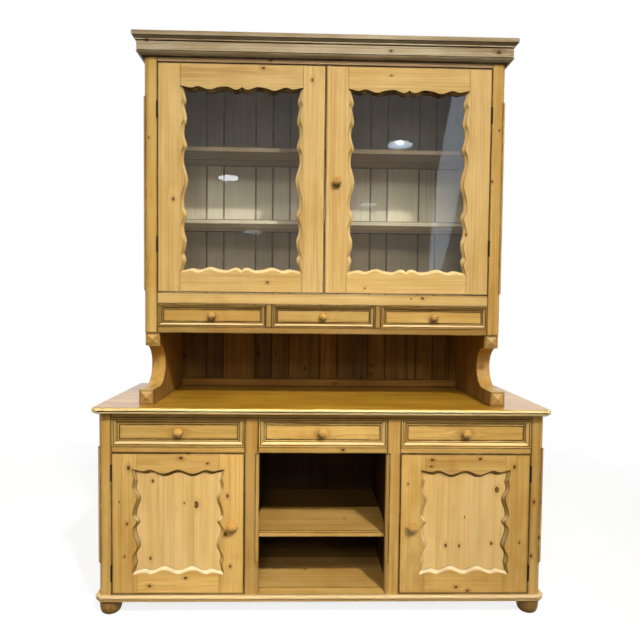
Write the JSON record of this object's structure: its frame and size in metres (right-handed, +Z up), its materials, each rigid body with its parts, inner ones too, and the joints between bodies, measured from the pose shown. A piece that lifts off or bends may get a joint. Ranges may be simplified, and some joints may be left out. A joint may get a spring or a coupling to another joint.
{
  "type": "hutch",
  "caption": "Pine hutch: a base with drawers, cupboards and an open niche, under a glazed cabinet on shaped brackets with small drawers.",
  "frame": {"origin": "on the floor, under the middle of the whole piece's box", "axes": "+Z up; the front faces -Y; +X to the viewer's right, seen from the front"},
  "size_m": [1.601, 0.557, 2.054],
  "materials": {
    "pine": "stripped and waxed pine, satin",
    "waxed_pine": "waxed pine, worn satin",
    "weathered_pine": "greyed pine, dull",
    "bare_pine": "bare pine, matt",
    "painted": "old warm grey paint, matt",
    "glass": "clear",
    "iron": "dark, dull"
  },
  "bodies": {
    "carcass": {"base_end_left": "pine", "base_end_right": "pine", "mid_post_left": "pine", "mid_post_right": "pine", "base_bottom_board": "pine", "drawer_board": "pine", "base_top_rail": "pine", "niche_shelf": "pine", "base_back_boards": "bare_pine", "base_top_board": "waxed_pine", "plinth_moulding": "pine", "foot_front_left": "pine", "foot_front_right": "pine", "foot_back_left": "pine", "foot_back_right": "pine", "bracket_left": "waxed_pine", "bracket_right": "waxed_pine", "cabinet_end_left": "pine", "cabinet_end_right": "pine", "cabinet_bottom_board": "pine", "cabinet_floor": "pine", "drawer_divider_left": "pine", "drawer_divider_right": "pine", "cabinet_shelf_lower": "painted", "cabinet_shelf_upper": "painted", "frieze_rail": "pine", "cabinet_top_board": "bare_pine", "cabinet_back_boards": "painted", "cornice": "weathered_pine", "glazed_hinge_left_lower": "iron", "glazed_hinge_left_upper": "iron", "glazed_hinge_right_lower": "iron", "glazed_hinge_right_upper": "iron", "cupboard_hinge_left_lower": "iron", "cupboard_hinge_left_upper": "iron", "cupboard_hinge_right_lower": "iron", "cupboard_hinge_right_upper": "iron"},
    "glazed_door_left": {"glazed_door_frame_left": "pine", "glass_pane_left": "glass"},
    "glazed_door_right": {"glazed_door_frame_right": "pine", "glass_pane_right": "glass", "glazed_door_knob": "pine"},
    "cupboard_door_left": {"cupboard_door_frame_left": "pine", "cupboard_panel_left": "pine", "cupboard_knob_left": "pine"},
    "cupboard_door_right": {"cupboard_door_frame_right": "pine", "cupboard_panel_right": "pine", "cupboard_knob_right": "pine"},
    "base_drawer_left_body": {"base_drawer_left": "pine", "base_drawer_left_knob": "pine"},
    "base_drawer_centre_body": {"base_drawer_centre": "pine", "base_drawer_centre_knob": "pine"},
    "base_drawer_right_body": {"base_drawer_right": "pine", "base_drawer_right_knob": "pine"},
    "small_drawer_left_body": {"small_drawer_left": "pine", "small_drawer_left_knob": "pine"},
    "small_drawer_centre_body": {"small_drawer_centre": "pine", "small_drawer_centre_knob": "pine"},
    "small_drawer_right_body": {"small_drawer_right": "pine", "small_drawer_right_knob": "pine"}
  },
  "joints": [
    {"name": "glazed_door_left_hinge", "type": "hinge", "parent": "carcass", "child": "glazed_door_left", "pos_m": [-0.604, -0.1502, 1.1393], "axis": [0, 0, -1], "range_deg": [0, 110]},
    {"name": "glazed_door_right_hinge", "type": "hinge", "parent": "carcass", "child": "glazed_door_right", "pos_m": [0.604, -0.1502, 1.1393], "axis": [0, 0, 1], "range_deg": [0, 110]},
    {"name": "cupboard_door_left_hinge", "type": "hinge", "parent": "carcass", "child": "cupboard_door_left", "pos_m": [-0.7355, -0.2542, 0.0779], "axis": [0, 0, -1], "range_deg": [0, 110]},
    {"name": "cupboard_door_right_hinge", "type": "hinge", "parent": "carcass", "child": "cupboard_door_right", "pos_m": [0.7355, -0.2542, 0.0779], "axis": [0, 0, 1], "range_deg": [0, 110]},
    {"name": "base_drawer_left_slide", "type": "slide", "parent": "carcass", "child": "base_drawer_left_body", "axis": [0, -1, 0], "range_m": [0, 0.35]},
    {"name": "base_drawer_centre_slide", "type": "slide", "parent": "carcass", "child": "base_drawer_centre_body", "axis": [0, -1, 0], "range_m": [0, 0.35]},
    {"name": "base_drawer_right_slide", "type": "slide", "parent": "carcass", "child": "base_drawer_right_body", "axis": [0, -1, 0], "range_m": [0, 0.35]},
    {"name": "small_drawer_left_slide", "type": "slide", "parent": "carcass", "child": "small_drawer_left_body", "axis": [0, -1, 0], "range_m": [0, 0.25]},
    {"name": "small_drawer_centre_slide", "type": "slide", "parent": "carcass", "child": "small_drawer_centre_body", "axis": [0, -1, 0], "range_m": [0, 0.25]},
    {"name": "small_drawer_right_slide", "type": "slide", "parent": "carcass", "child": "small_drawer_right_body", "axis": [0, -1, 0], "range_m": [0, 0.25]}
  ]
}
